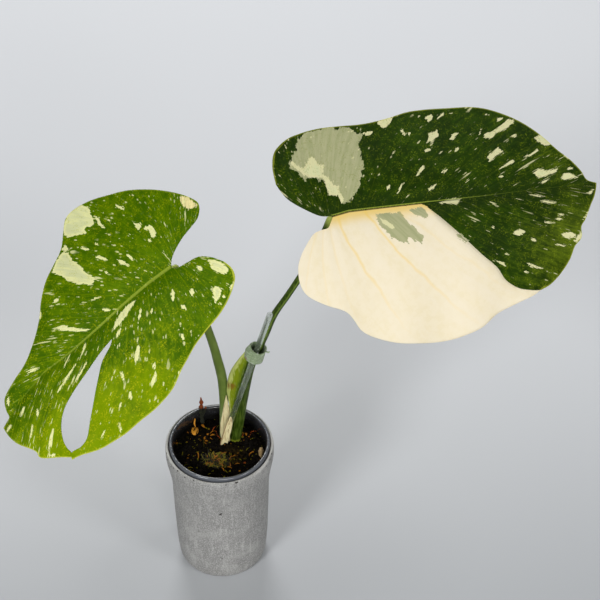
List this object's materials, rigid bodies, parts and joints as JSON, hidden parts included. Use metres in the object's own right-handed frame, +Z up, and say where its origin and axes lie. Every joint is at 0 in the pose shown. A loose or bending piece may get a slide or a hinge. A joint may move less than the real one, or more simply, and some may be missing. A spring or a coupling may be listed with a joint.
{
  "type": "potted cream cheese monstera",
  "caption": "Young split-leaf aroid with a lime-green leaf and a half cream leaf, staked in a nursery pot inside a tall grey cover pot.",
  "frame": {"origin": "centre of the cover pot's foot, on the surface that it stands on", "axes": "+Z up; looking along +Y both leaves show their upper faces; +X to the right, towards the half cream leaf"},
  "size_m": [0.4458, 0.1836, 0.3812],
  "materials": {
    "stoneware": "speckled grey stoneware, unglazed, with small dark pits",
    "dark_plastic": "thin dark grey moulded plastic, glossy rim",
    "potting_soil": "near-black damp potting mix",
    "root": "fleshy cream-brown root",
    "petiole_grey_green": "smooth grey-green stalk",
    "petiole_dark_green": "smooth dark green stalk with a pale ridge",
    "leaf_lime": "satin lime-green blade with cream specks and streaks",
    "leaf_dark_and_cream": "satin blade, dark green with sage and cream patches, and one cream lobe",
    "sheath_yellow_green": "soft yellow-green sheath",
    "sheath_dry": "dry papery cream sheath with brown nicks",
    "clear_acrylic": "clear polished acrylic rod",
    "plant_tape": "grey-green woven hook and loop tape",
    "dead_wood": "dead dark brown twig",
    "dry_leaf": "dry orange-brown leaf flake",
    "bark": "pale tan bark chip",
    "moss": "olive brown moss"
  },
  "bodies": {
    "root": {"cover_pot": "stoneware", "nursery_pot": "dark_plastic", "soil": "potting_soil", "crown_and_roots": "root", "petiole_left": "petiole_grey_green", "petiole_right": "petiole_dark_green", "leaf_left": "leaf_lime", "leaf_right": "leaf_dark_and_cream", "sheath_green": "sheath_yellow_green", "sheath_cream": "sheath_dry", "stake": "clear_acrylic", "tie": "plant_tape", "dead_sprig": "dead_wood", "dry_flake": "dry_leaf", "bark_chip": "bark", "moss_clump": "moss"}
  },
  "joints": []
}
